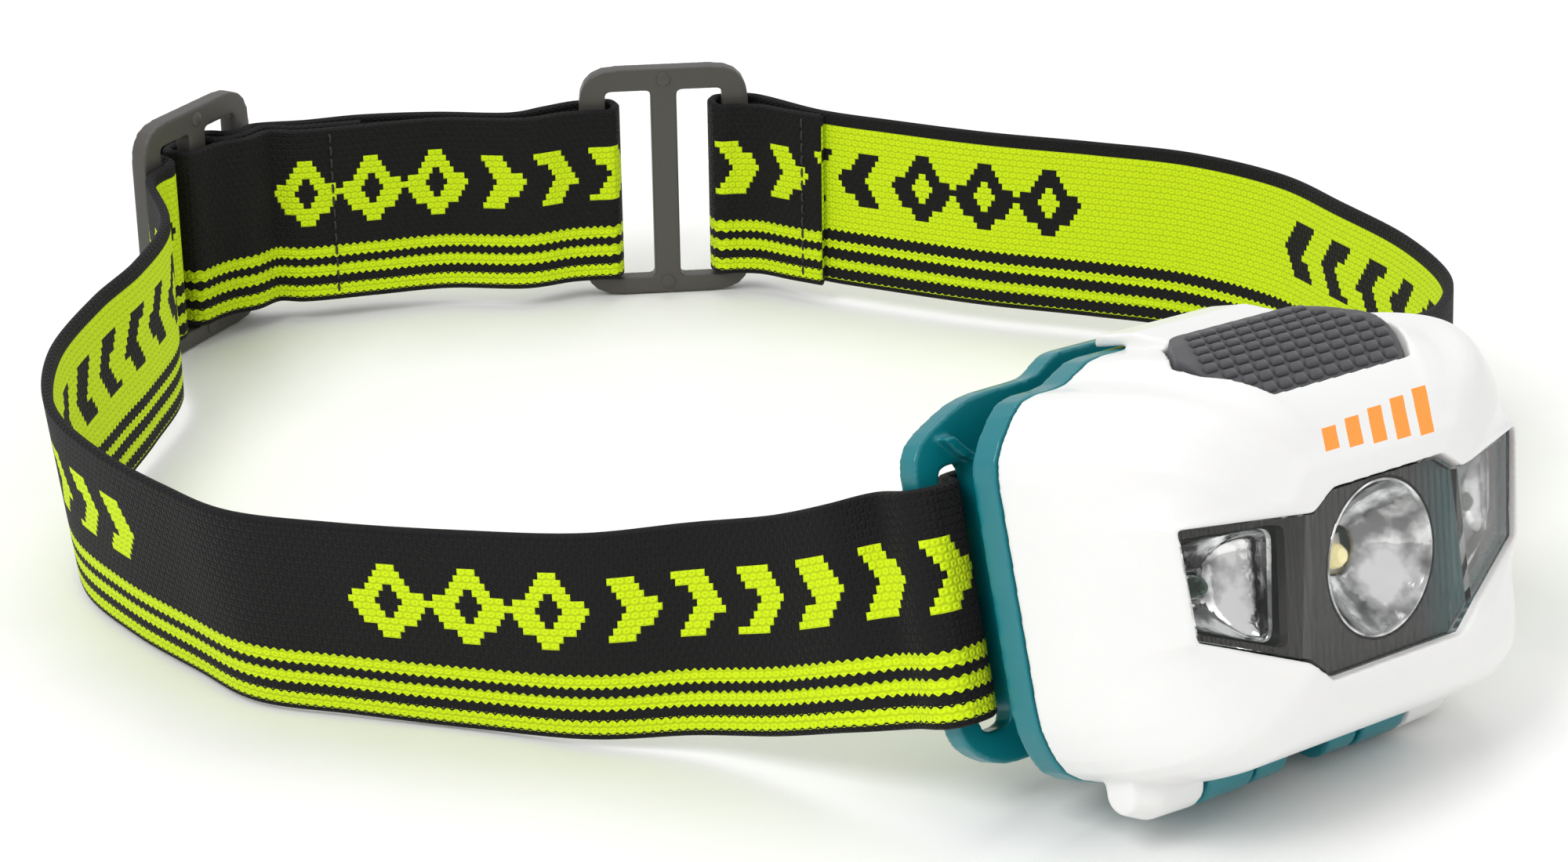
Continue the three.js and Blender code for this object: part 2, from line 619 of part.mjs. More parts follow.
/** The whole band in one length: sewn end, left slider, rear slider, lamp, and the other sewn end. */
function bandStations() {
  const left = (along, out) => atSlider(LEFT_SLIDER, along, out);
  const rear = (along, out) => atSlider(REAR_SLIDER, along, out);
  const sewnTail = [[11.4, 170.3], [3.5, 174.8]];
  const innerBack = [[2.4, 173], [11, 168.4], [20, 163.5], [28, 155.6]];
  const outerBack = [[28.6, 158.4], [20.8, 166.2], [12.6, 172.4], [6, 175.6]];
  return [
    ...sewnTail.map(([x, y]) => free(x, y, BAND_LIFT)),
    ...[[10.6, -4.1], [6.8, -3.4], [4.1, -2], [3.3, 0], [2.9, 1.9], [0, NEAR]].map((p) => left(...p)),
    ...[[-2.9, 1.9], [-3.3, 0], [-2.9, -1.9], [0, -2.4], [2.6, -3.2], [5.4, -5]].map((p) => left(...p)),
    left(9.4, -5.9),
    ...innerBack.map(([x, y]) => free(x, y, BAND_LIFT)),
    ...[[-13.6, -2.6], [-9.9, -NEAR], [-7.5, -2.2], [-6.7, 0], [-7.5, 2.2]].map((p) => rear(...p)),
    ...[[-9.9, NEAR], [-12.4, 2.1], [-16.5, 0.3]].map((p) => rear(...p)),
    ...outerBack.map(([x, y]) => free(x, y, BAND_LIFT)),
    ...[[10.4, -NEAR], [8.2, -NEAR], [6.5, -1.2], [5.6, 1.2], [3.6, 3.4], [0, 4.1]].map((p) => left(...p)),
    ...[[-3.6, 3.4], [-5.6, 1.2], [-6.5, -1.2], [-8.2, -NEAR], [-10.4, -NEAR]].map((p) => left(...p)),
    left(-13.5, -3.2),
    free(-30, 155.5, 2.6),
    free(-40.5, 146, 2.2),
    free(-49, 139.5, 1.6, -1, 1),
    free(-60, 130.5, 0.8, -2, 0.5),
    free(-67.5, 118, 0.1, -3, 0),
    free(-69.6, 104, BAND_REST, -4, -0.4),
    free(-69.5, 91, BAND_REST, -4.3, -1),
    free(-69, 81, BAND_REST, -3.6, -1.6),
    free(-63, 71, BAND_REST, -3, -2.4),
    free(-55.5, 59.5, BAND_REST, -2.2, -1.6),
    free(-48.5, 47.5, 0.8, -1, -0.8),
    free(-42, 38, 2.6),
    free(-38.6, 28, 5, 0.6, 1.6),
    free(-36.6, 19, 8, 0.6, 4),
    atLamp(-34.6, 9.4),
    atLamp(-34.4, 5.2),
    ...THROUGH_SLOT.map(([x, y]) => atLamp(-x, y)),
    atLamp(0, 9.2),
    ...THROUGH_SLOT.toReversed().map(([x, y]) => atLamp(x, y)),
    atLamp(34.6, 5.4),
    atLamp(36.4, 9),
    free(47, 14.5, 6, 1, 4.5),
    free(60.5, 20, 4, 0.4, 2.4),
    free(71.5, 29, 3, 0, 0.8),
    free(78.6, 42, BAND_LIFT),
    free(82.4, 56, BAND_LIFT),
    free(85, 68, BAND_LIFT),
    free(83, 82, BAND_LIFT),
    free(77, 94, BAND_LIFT),
    free(69.5, 107, BAND_LIFT),
    free(63.6, 120, BAND_LIFT),
    free(59.8, 129.6, BAND_LIFT),
    ...[[12.4, 2.1], [9.9, NEAR], [7.5, 2.2], [6.7, 0], [7.5, -2.2], [9.9, -NEAR]].map((p) => rear(...p)),
    rear(13, -3),
    free(56.8, 132.6, BAND_LIFT),
    free(58.4, 128.1, BAND_LIFT),
  ];
}

function band() {
  const stations = bandStations();
  const steps = stations.length * 3;
  const edge = (key) => new THREE.CatmullRomCurve3(stations.map((s) => s[key]), false, 'centripetal');
  const [low, high] = [edge('low'), edge('high')];
  const centre = (t) => low.getPoint(t).add(high.getPoint(t)).multiplyScalar(0.5);
  const rings = Array.from({ length: steps + 1 }, (_, i) => {
    const t = i / steps;
    const middle = centre(t);
    const across = high.getPoint(t).sub(low.getPoint(t)).setLength(BAND_WIDTH / 2);
    const ahead = centre(Math.min(1, t + 1e-4)).sub(centre(Math.max(0, t - 1e-4)));
    const out = ahead.cross(across).setLength(BAND_THICKNESS / 2);
    return [[1, 1], [1, -1], [-1, -1], [-1, 1]].map(([a, b]) =>
      middle.clone().addScaledVector(across, a).addScaledVector(out, b),
    );
  });
  return loft(rings, true);
}

/** Two-slot slider: a ring with a bar across its middle, standing on its lower rail. */
function slider(place) {
  const { length, height, thickness, bar, foot, head } = SLIDER;
  const outline = rounded(symmetric([[length / 2, height], [length / 2, 0]]), 5, 5);
  const slot = (centre) => {
    const half = (length - 3 * bar) / 4;
    const [x0, x1] = [centre - half, centre + half];
    return rounded([[x0, foot], [x1, foot], [x1, height - head], [x0, height - head]], 0.4, 1);
  };
  const slotCentre = (length - bar) / 4;
  const cuts = [-slotCentre, slotCentre].map((c) => plateXZ(slot(c), -5, 5));
  return cut(solid(plateXZ(outline, -thickness / 2, thickness / 2)), ...cuts)
    .rotateZ(radians(place.heading))
    .translate(place.x, place.y, 0);
}

// ---------------------------------------------------------------------------------------------
// Assembly
// ---------------------------------------------------------------------------------------------
const headlamp = new THREE.Group();
const lamp = new THREE.Group();
lamp.applyMatrix4(LAMP_FRAME);
lamp.position.z = LAMP_LIFT;
headlamp.add(lamp);

function add(group, name, geometry, materialName) {
  const mesh = new THREE.Mesh(geometry, MATERIALS[materialName]);
  mesh.name = name;
  group.add(mesh);
}

add(lamp, 'front_shell', frontShell(), 'white');
add(lamp, 'rear_cover', rearCover(), 'teal');
add(lamp, 'case_seal', seal(), 'seal');
add(lamp, 'lens_cover', foldedPlate(0.45, 0, 1.3), 'clear');
add(lamp, 'lens_bezel', lensBezel(), 'bezel');
add(lamp, 'spot_reflector', spotReflector(), 'chrome');
add(lamp, 'spot_led_base', spotLedBase(), 'ceramic');
add(lamp, 'spot_led_dome', spotLedDome(), 'phosphor');
for (const [side, name] of [[-1, 'left'], [1, 'right']]) {
  add(lamp, `side_reflector_${name}`, sideReflector(side), 'chrome');
  add(lamp, `side_led_${name}`, sideLed(side), 'clear');
  add(lamp, `led_lead_${name}`, ledLead(side), 'wire');
}
add(lamp, 'circuit_board', circuitBoard(), 'board');
SCREW_PLACES.forEach((place, i) => add(lamp, `board_screw_${i + 1}`, screw(place), 'steel'));
add(lamp, 'switch_body', switchBody(), 'tray');
add(lamp, 'switch_cap', switchCap(), 'ceramic');
add(lamp, 'button', button(), 'rubber');
add(lamp, 'battery_tray', batteryTray(), 'tray');
CELL_ROWS.forEach((z, i) => {
  const facing = i % 2 === 0 ? 1 : -1;
  add(lamp, `battery_${i + 1}`, cell(z, facing), 'cell');
  add(lamp, `contact_plate_${i + 1}`, contactPlate(z, facing), 'spring');
  add(lamp, `contact_spring_${i + 1}`, contactSpring(z, -facing), 'spring');
});
add(lamp, 'bracket', bracket(), 'teal');
add(lamp, 'hinge_pin', hingePin(), 'steel');
add(headlamp, 'left_slider', slider(LEFT_SLIDER), 'slider');
add(headlamp, 'rear_slider', slider(REAR_SLIDER), 'slider');
add(headlamp, 'head_band', band(), 'band');

// The origin is the middle of the footprint, on the table.
const extent = new THREE.Box3().setFromObject(headlamp, true);
const centre = extent.getCenter(vec());
headlamp.position.set(-centre.x, -centre.y, -extent.min.z);

export default headlamp;
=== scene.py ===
"""Looks for the headlamp: knitted band, moulded case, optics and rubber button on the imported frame."""

import json
import math

import bmesh
import bpy
from mathutils import Matrix, Vector


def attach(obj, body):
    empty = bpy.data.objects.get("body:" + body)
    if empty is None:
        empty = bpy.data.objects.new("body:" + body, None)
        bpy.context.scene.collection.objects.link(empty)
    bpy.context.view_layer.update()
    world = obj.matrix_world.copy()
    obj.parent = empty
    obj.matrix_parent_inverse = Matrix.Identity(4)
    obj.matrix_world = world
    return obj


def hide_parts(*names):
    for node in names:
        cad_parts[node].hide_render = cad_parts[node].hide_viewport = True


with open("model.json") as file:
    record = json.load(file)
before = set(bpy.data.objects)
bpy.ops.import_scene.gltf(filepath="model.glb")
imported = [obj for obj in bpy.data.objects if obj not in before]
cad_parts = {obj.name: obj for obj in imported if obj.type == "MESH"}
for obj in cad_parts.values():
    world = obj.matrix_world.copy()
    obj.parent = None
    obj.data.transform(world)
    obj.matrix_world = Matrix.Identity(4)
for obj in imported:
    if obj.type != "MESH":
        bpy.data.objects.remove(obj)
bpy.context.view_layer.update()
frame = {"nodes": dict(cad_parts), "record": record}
RECORD = frame["record"]
MM = 0.001

# ---------------------------------------------------------------------------------------------
# Places.  "stand" is the frame the band was laid out in, "LAMP" the upright frame of the lamp.
# ---------------------------------------------------------------------------------------------
LEAN, ROLL = math.radians(18.7), math.radians(4.6)
REAR_SLIDER = (46.5, 147.5, -36)  # x, y and heading
LEFT_SLIDER = (-11, 178, 20)
PIN = Vector((0, -9, 0.8)) * MM

joints = {joint["name"]: joint for joint in RECORD["behaviour"]["joints"]}
mounts = {mount["name"]: mount for mount in RECORD["mounts"]}
TURN = Matrix.Rotation(ROLL, 4, "Y") @ Matrix.Rotation(-LEAN, 4, "X")
LAMP = Matrix.Translation(joints["lamp_tilt"]["pos_m"]) @ TURN @ Matrix.Translation(-PIN)
SHIFT = Vector(mounts["table_rest"]["pos_m"]) - Vector((REAR_SLIDER[0], REAR_SLIDER[1], 0)) * MM


def stand(x, y, z):
    return SHIFT + Vector((x, y, z)) * MM


def lamp(x, y, z):
    return LAMP @ (Vector((x, y, z)) * MM)


# ---------------------------------------------------------------------------------------------
# Camera, light and floor
# ---------------------------------------------------------------------------------------------
def add_camera():
    data = bpy.data.cameras.new("camera")
    data.sensor_width = 36
    data.lens = 87.6
    data.clip_start = 0.01
    camera = bpy.data.objects.new("camera", data)
    bpy.context.scene.collection.objects.link(camera)
    right = Vector((0.7459, -0.6659, -0.0129))
    up = Vector((0.2702, 0.2843, 0.9199))
    ahead = Vector((0.6088, 0.6898, -0.3920))
    turn = Matrix((right, up, -ahead)).transposed().to_4x4()
    camera.matrix_world = Matrix.Translation(stand(-275.2, -241.1, 192.7)) @ turn
    bpy.context.scene.camera = camera


def add_light(name, place, size, energy):
    data = bpy.data.lights.new(name, "AREA")
    data.size = size
    data.energy = energy
    light = bpy.data.objects.new(name, data)
    bpy.context.scene.collection.objects.link(light)
    light.location = place
    aim = Vector((0, 0, 0.02)) - Vector(place)
    light.rotation_euler = aim.to_track_quat("-Z", "Y").to_euler()


def add_studio():
    world = bpy.data.worlds.new("studio")
    bpy.context.scene.world = world
    world.use_nodes = True
    background = world.node_tree.nodes["Background"]
    background.inputs["Color"].default_value = (1, 1, 1, 1)
    background.inputs["Strength"].default_value = 0.72
    add_light("key", (-0.75, -0.15, 0.85), 0.45, 5.2)
    add_light("fill", (0.5, -0.9, 0.4), 0.7, 0.9)
    add_light("top", (0.2, 0.3, 1.1), 0.8, 3.4)
    bpy.context.scene.view_settings.view_transform = "Standard"
    mesh = bpy.data.meshes.new("floor")
    mesh.from_pydata([(-4, -4, 0), (4, -4, 0), (4, 4, 0), (-4, 4, 0)], [], [(0, 1, 2, 3)])
    floor = bpy.data.objects.new("floor", mesh)
    floor.location.z = -0.0002
    bpy.context.scene.collection.objects.link(floor)
    mesh.materials.append(plastic("floor_paper", (0.94, 0.94, 0.93), 0.7, grain=0.4))


# ---------------------------------------------------------------------------------------------
# Node helpers
# ---------------------------------------------------------------------------------------------
class Net:
    """A material's nodes, with short calls for sums on them."""

    def __init__(self, name):
        self.material = bpy.data.materials.new(name)
        self.material.use_nodes = True
        self.tree = self.material.node_tree
        self.shader = self.tree.nodes["Principled BSDF"]

    def feed(self, socket, value):
        if isinstance(value, bpy.types.NodeSocket):
            self.tree.links.new(value, socket)
        else:
            socket.default_value = value

    def node(self, kind, **settings):
        node = self.tree.nodes.new(kind)
        for key, value in settings.items():
            setattr(node, key, value)
        return node

    def sum(self, operation, *values, clamp=False):
        node = self.node("ShaderNodeMath", operation=operation, use_clamp=clamp)
        for socket, value in zip(node.inputs, values):
            self.feed(socket, value)
        return node.outputs[0]

    def attribute(self, name):
        return self.node("ShaderNodeAttribute", attribute_name=name).outputs["Fac"]

    def local(self, matrix=None):
        """Coordinates in metres, in the part's frame or in the frame of a matrix."""
        where = self.node("ShaderNodeTexCoord").outputs["Object"]
        if matrix is None:
            return where
        inverse = matrix.inverted()
        mapping = self.node("ShaderNodeMapping")
        mapping.inputs["Location"].default_value = inverse.to_translation()
        mapping.inputs["Rotation"].default_value = inverse.to_euler()
        self.feed(mapping.inputs["Vector"], where)
        return mapping.outputs[0]

    def axes(self, matrix):
        """The three coordinates in the frame of a matrix, in metres."""
        split = self.node("ShaderNodeSeparateXYZ")
        self.feed(split.inputs[0], self.local(matrix))
        return split.outputs

    def noise(self, vector, per_metre, detail=3):
        node = self.node("ShaderNodeTexNoise")
        self.feed(node.inputs["Vector"], vector)
        node.inputs["Scale"].default_value = per_metre
        node.inputs["Detail"].default_value = detail
        return node.outputs["Fac"]

    def spread(self, value, low, high):
        node = self.node("ShaderNodeMapRange")
        self.feed(node.inputs["Value"], value)
        node.inputs["To Min"].default_value = low
        node.inputs["To Max"].default_value = high
        return node.outputs["Result"]

    def blend(self, amount, first, second):
        node = self.node("ShaderNodeMix", data_type="RGBA")
        self.feed(node.inputs["Factor"], amount)
        for socket, value in ((node.inputs[6], first), (node.inputs[7], second)):
            self.feed(socket, value if isinstance(value, bpy.types.NodeSocket) else (*value, 1))
        return node.outputs[2]

    def lay_over(self, amount, colour):
        """Lays a second colour over the base colour."""
        base = self.shader.inputs["Base Color"].links[0].from_socket
        self.feed(self.shader.inputs["Base Color"], self.blend(amount, base, colour))

    def bump(self, height, distance, strength=1.0):
        node = self.node("ShaderNodeBump")
        self.feed(node.inputs["Height"], height)
        node.inputs["Distance"].default_value = distance
        node.inputs["Strength"].default_value = strength
        self.feed(self.shader.inputs["Normal"], node.outputs[0])

    def set(self, **values):
        for key, value in values.items():
            self.shader.inputs[key.replace("_", " ")].default_value = value


def shade(colour, factor):
    return tuple(channel * factor for channel in colour)


# ---------------------------------------------------------------------------------------------
# Materials
# ---------------------------------------------------------------------------------------------
def moulded(name, colour, roughness, grain=1.0, coat=0.0):
    """Injection-moulded plastic: fine grain, and slow changes of colour and gloss."""
    net = Net(name)
    where = net.local()
    slow = net.noise(where, 60)
    net.feed(net.shader.inputs["Base Color"], net.blend(slow, shade(colour, 0.96), shade(colour, 1.03)))
    net.feed(net.shader.inputs["Roughness"], net.spread(slow, roughness - 0.05, roughness + 0.07))
    net.set(Coat_Weight=coat)
    net.bump(net.noise(where, 5200, 2), 0.00002 * grain, 0.4)
    return net


def plastic(*values, **settings):
    return moulded(*values, **settings).material


BAR_STEP, BAR_SLANT = 3.6, 0.35  # mm from bar to bar, and lean per mm of height
BAR_LEFT, BAR_MIDDLE = -8, 33.6  # mm across and up the case


def white_shell():
    """White case plastic, with a plain row of slanted orange bars printed over the lens."""
    net = moulded("white_plastic", (0.82, 0.82, 0.81), 0.3, grain=0.5, coat=0.15)
    net.set(Subsurface_Weight=0.12, Subsurface_Scale=0.002)
    place = net.axes(LAMP)
    x, z = (net.sum("DIVIDE", place[axis], MM) for axis in ("X", "Z"))
    rise = net.sum("SUBTRACT", z, BAR_MIDDLE)
    slanted = net.sum("MULTIPLY_ADD", rise, -BAR_SLANT, net.sum("ADD", x, -BAR_LEFT))
    steps = net.sum("DIVIDE", slanted, BAR_STEP)
    count = net.sum("FLOOR", steps)
    bar = net.sum("LESS_THAN", net.sum("FRACT", steps), 0.6)
    tall = net.sum("ADD", net.sum("MULTIPLY", count, 0.3), 1.1)
    height = net.sum("LESS_THAN", net.sum("ABSOLUTE", rise), tall)
    inside = net.sum("LESS_THAN", net.sum("ABSOLUTE", net.sum("SUBTRACT", count, 2)), 2.5)
    printed = net.sum("MULTIPLY", net.sum("MULTIPLY", bar, height), inside)
    net.lay_over(printed, (1.0, 0.32, 0.035))
    return net.material


RIB_STEP = 1.0  # mm


def ribbed_bezel():
    """Dark insert behind the lens, with fine upright ribs and a painted teal sheen on its right."""
    net = moulded("bezel", (0.02, 0.019, 0.018), 0.34)
    place = net.axes(LAMP)
    # painted sheen: teal reflected light laid into the base colour, growing towards the right
    right = net.sum("DIVIDE", net.sum("SUBTRACT", place["X"], 5 * MM), 7 * MM, clamp=True)
    net.lay_over(right, (0.004, 0.07, 0.075))
    wave = net.sum("SINE", net.sum("MULTIPLY", place["X"], 2 * math.pi / (RIB_STEP * MM)))
    net.bump(wave, 0.00016, 0.9)
    return net.material


def clear_lens():
    net = moulded("clear_lens", (0.97, 0.97, 0.96), 0.06, grain=0.1)
    net.set(Transmission_Weight=1.0, IOR=1.25)
    return net.material


def mirror(name, roughness, darkest_reflection=0.7):
    """Metallised surface: slightly wavy, and with painted reflections: its colour streaks between dark and
    bright.
    """
    net = Net(name)
    where = net.local()
    slow = net.noise(where, 300)
    # painted reflection: the base colour streaks dark and bright, standing in for dark surroundings seen in
    # the mirror
    painted_reflection = net.sum("MULTIPLY_ADD", net.noise(where, 190, 4), 5.0, -2.0, clamp=True)
    dark = tuple(darkest_reflection * tint for tint in (1.0, 1.0, 1.03))
    net.feed(net.shader.inputs["Base Color"], net.blend(painted_reflection, dark, (0.9, 0.91, 0.92)))
    net.feed(net.shader.inputs["Roughness"], net.spread(slow, roughness, roughness + 0.06))
    net.set(Metallic=1.0)
    net.bump(net.noise(where, 700, 2), 0.00012, 0.5)
    return net.material


def phosphor():
    net = moulded("phosphor", (0.95, 0.83, 0.36), 0.2, coat=1.0)
    net.set(Emission_Color=(1, 0.9, 0.5, 1), Emission_Strength=0.35)
    return net.material


def rubber():
    net = moulded("rubber", (0.047, 0.047, 0.052), 0.62, grain=3.0)
    net.set(Sheen_Weight=0.15)
    return net.material


def cell_sleeve():
    """Printed sleeve of a cell: a band of darker ink round one end."""
    net = moulded("cell_sleeve", (0.05, 0.16, 0.42), 0.28, coat=0.4)
    place = net.axes(LAMP)
    ring = net.sum("GREATER_THAN", net.sum("ABSOLUTE", place["X"]), 12 * MM)
    net.lay_over(ring, (0.62, 0.5, 0.2))
    return net.material


BLACK_YARN = (0.008, 0.007, 0.008)
LIME_YARN = (0.74, 0.98, 0.006)
STITCH = 1.0  # mm along the band
ROW = 0.86  # mm across it
LINES = (7.3, 4.6, 1.7)  # heights of the three lines above the band's lower edge
MOTIF_REPEAT = 128
MOTIF_START = 48
MOTIF_BASE, MOTIF_HEIGHT = 11, 9.5
LOZENGE, LOZENGES = 9, 27  # mm along one, and along all of them
CHEVRON = 7.8
FIRST_CHEVRON, LAST_CHEVRON = 4, 13


def knit_motif(net, along, across):
    """A plain repeat of three large lozenges and nine small chevrons, worked in whole stitches."""
    place = net.sum("WRAP", net.sum("SUBTRACT", along, MOTIF_START), MOTIF_REPEAT, 0)
    up = net.sum("DIVIDE", net.sum("SUBTRACT", across, MOTIF_BASE), MOTIF_HEIGHT)
    middle = net.sum("ABSOLUTE", net.sum("SUBTRACT", up, 0.5))
    in_band = net.sum("LESS_THAN", middle, 0.5)
    phase = net.sum("FRACT", net.sum("DIVIDE", place, LOZENGE))
    large = net.sum("ABSOLUTE", net.sum("SUBTRACT", phase, 0.5))
    reach = net.sum("ADD", net.sum("MULTIPLY", large, 2.1), net.sum("MULTIPLY", middle, 1.6))
    lozenge = net.sum("MULTIPLY", net.sum("LESS_THAN", reach, 1.0), net.sum("GREATER_THAN", reach, 0.42))
    lozenge = net.sum("MULTIPLY", lozenge, net.sum("LESS_THAN", place, LOZENGES))
    slant = net.sum("ADD", net.sum("DIVIDE", place, CHEVRON), net.sum("MULTIPLY", middle, 0.9))
    chevron = net.sum("LESS_THAN", net.sum("FRACT", slant), 0.46)
    begun = net.sum("GREATER_THAN", slant, FIRST_CHEVRON)
    far = net.sum("MULTIPLY", begun, net.sum("LESS_THAN", slant, LAST_CHEVRON))
    low = net.sum("LESS_THAN", middle, 0.4)
    chevron = net.sum("MULTIPLY", chevron, net.sum("MULTIPLY", far, low))
    return net.sum("MULTIPLY", in_band, net.sum("MAXIMUM", lozenge, chevron))


def knit():
    """Double-faced knitted elastic: each stitch is a small loop, and the two faces swap colours."""
    net = Net("knitted_elastic")
    along, across, outer = (net.attribute(name) for name in ("along", "across", "outer"))
    rows = net.sum("DIVIDE", across, ROW)
    row = net.sum("FLOOR", rows)
    shift = net.sum("MULTIPLY", net.sum("WRAP", row, 2, 0), 0.5)
    stitches = net.sum("ADD", net.sum("DIVIDE", along, STITCH), shift)
    u = net.sum("SUBTRACT", net.sum("FRACT", stitches), 0.5)
    v = net.sum("SUBTRACT", net.sum("FRACT", rows), 0.5)
    radius = net.sum("SQRT", net.sum("ADD", net.sum("MULTIPLY", u, u), net.sum("MULTIPLY", v, v)))
    off_loop = net.sum("ABSOLUTE", net.sum("SUBTRACT", radius, 0.27))
    loop = net.sum("SUBTRACT", 1, net.sum("DIVIDE", off_loop, 0.32), clamp=True)
    stitch_middle = net.sum("SUBTRACT", net.sum("ADD", net.sum("FLOOR", stitches), 0.5), shift)
    stitch_along = net.sum("MULTIPLY", stitch_middle, STITCH)
    stitch_across = net.sum("MULTIPLY", net.sum("ADD", row, 0.5), ROW)
    pattern = knit_motif(net, stitch_along, stitch_across)
    wave = net.sum("COSINE", net.sum("MULTIPLY", u, 2 * math.pi))
    wobble = net.sum("MULTIPLY_ADD", wave, 0.16, across)
    for height in LINES:
        line = net.sum("LESS_THAN", net.sum("ABSOLUTE", net.sum("SUBTRACT", wobble, height)), 0.78)
        pattern = net.sum("MAXIMUM", pattern, line)
    front = net.sum("GREATER_THAN", outer, 0.5)
    swapped = net.sum("ABSOLUTE", net.sum("SUBTRACT", net.sum("SUBTRACT", 1, front), pattern))
    field = net.sum("MULTIPLY", net.sum("GREATER_THAN", across, 0.8), net.sum("LESS_THAN", across, 23.3))
    lime = net.sum("MULTIPLY", swapped, field)
    yarn = net.noise(net.local(), 4200, 3)
    # painted shade: the gaps round each loop are darkened towards near black, with random yarn tone on top
    gap_shade_and_yarn_tone = net.sum("MULTIPLY", net.spread(loop, 0.7, 1.0), net.spread(yarn, 0.9, 1.1))
    colour = net.blend(lime, BLACK_YARN, LIME_YARN)
    net.feed(net.shader.inputs["Base Color"], net.blend(gap_shade_and_yarn_tone, (0.004, 0.005, 0.003), colour))
    net.feed(net.shader.inputs["Roughness"], net.spread(yarn, 0.62, 0.85))
    net.set(Sheen_Weight=0.03, Sheen_Roughness=0.4, Specular_IOR_Level=0.2)
    height = net.sum("ADD", loop, net.sum("MULTIPLY", yarn, 0.5))
    net.bump(net.sum("ADD", height, net.sum("MULTIPLY", lime, 0.3)), 0.00022, 0.9)
    return net.material


def make_materials():
    return {
        "white": white_shell(),
        "teal": plastic("teal_plastic", (0.0, 0.175, 0.208), 0.34, coat=0.2),
        "clear": clear_lens(),
        "bezel": ribbed_bezel(),
        "chrome": mirror("metallised", 0.05, darkest_reflection=0.16),
        "phosphor": phosphor(),
        "ceramic": plastic("ceramic", (0.78, 0.78, 0.74), 0.45),
        "rubber": rubber(),
        "board": plastic("solder_mask", (0.01, 0.13, 0.06), 0.3, coat=0.5),
        "black_plastic": plastic("black_plastic", (0.02, 0.02, 0.022), 0.5),
        "cell": cell_sleeve(),
        "spring": mirror("nickel", 0.16),
        "steel": mirror("steel", 0.24),
        "seal": plastic("seal_rubber", (0.17, 0.18, 0.18), 0.8, grain=2),
        "wire": plastic("wire_sleeve", (0.4, 0.02, 0.02), 0.4),
        "slider": plastic("slider_plastic", (0.068, 0.062, 0.057), 0.42, grain=1.6),
        "band": knit(),
    }


# ---------------------------------------------------------------------------------------------
# Meshes
# ---------------------------------------------------------------------------------------------
def new_piece(name, vertices, faces, body, material):
    mesh = bpy.data.meshes.new(name)
    mesh.from_pydata([tuple(v) for v in vertices], [], faces)
    work = bmesh.new()
    work.from_mesh(mesh)
    bmesh.ops.recalc_face_normals(work, faces=work.faces)
    work.to_mesh(mesh)
    work.free()
    mesh.polygons.foreach_set("use_smooth", [True] * len(mesh.polygons))
    mesh.materials.append(material)
    piece = bpy.data.objects.new(name, mesh)
    bpy.context.scene.collection.objects.link(piece)
    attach(piece, body)
    return piece


def loft(rings, closed=False):
    """Vertices and faces through rings of equal length, with flat ends unless it closes on itself."""
    count = len(rings[0])
    vertices = [point for ring in rings for point in ring]
    faces = []
    for r in range(len(rings) if closed else len(rings) - 1):
        a, b = r * count, (r + 1) % len(rings) * count
        for i in range(count):
            j = (i + 1) % count
            faces.append((a + i, a + j, b + j, b + i))
    if not closed:
        faces.append(tuple(reversed(range(count))))
        faces.append(tuple(range(len(vertices) - count, len(vertices))))
    return vertices, faces


def gather(lofts):
    """One list of vertices and one of faces from several lofts."""
    vertices, faces = [], []
    for points, sides in lofts:
        base = len(vertices)
        vertices += points
        faces += [tuple(base + index for index in side) for side in sides]
    return vertices, faces


def soften(node, voxel, rounds):
    """Rounds a moulded node's edges by remeshing it finely and relaxing it."""
    obj = frame["nodes"][node]
    even = obj.modifiers.new("even", "REMESH")
    even.mode = "VOXEL"
    even.voxel_size = voxel * MM
    even.use_smooth_shade = True
    relax = obj.modifiers.new("relax", "SMOOTH")
    relax.factor = 0.5
    relax.iterations = rounds


def ease_edges(node, width):
    bevel = frame["nodes"][node].modifiers.new("edges", "BEVEL")
    bevel.width = width * MM
    bevel.segments = 2
    bevel.limit_method = "ANGLE"
    bevel.angle_limit = math.radians(35)


# ---------------------------------------------------------------------------------------------
# Head band
# ---------------------------------------------------------------------------------------------
BAND_WIDTH, BAND_HALF, EDGE_ROLL = 25, 0.6, 0.68
BAND_LIFT, BAND_REST = 2.8, 0.05
NEAR = 2.3
THROUGH_SLOT = (
    (32.8, 3.7), (31.2, 3.6), (29.2, 4), (27.6, 5.4),
    (26.7, 7.4), (25.6, 8.9), (23, 9.3), (12, 9.2),
)


def free(x, y, z=BAND_LIFT, dx=0.0, dy=0.0):
    return stand(x, y, z), stand(x + dx, y + dy, z + BAND_WIDTH)


def at_lamp(x, y):
    return lamp(x, y, 9.7), lamp(x, y, 9.7 + BAND_WIDTH)


def at_slider(slider, steps):
    x, y, heading = slider
    cos, sin = math.cos(math.radians(heading)), math.sin(math.radians(heading))
    return [free(x + a * cos - o * sin, y + a * sin + o * cos) for a, o in steps]


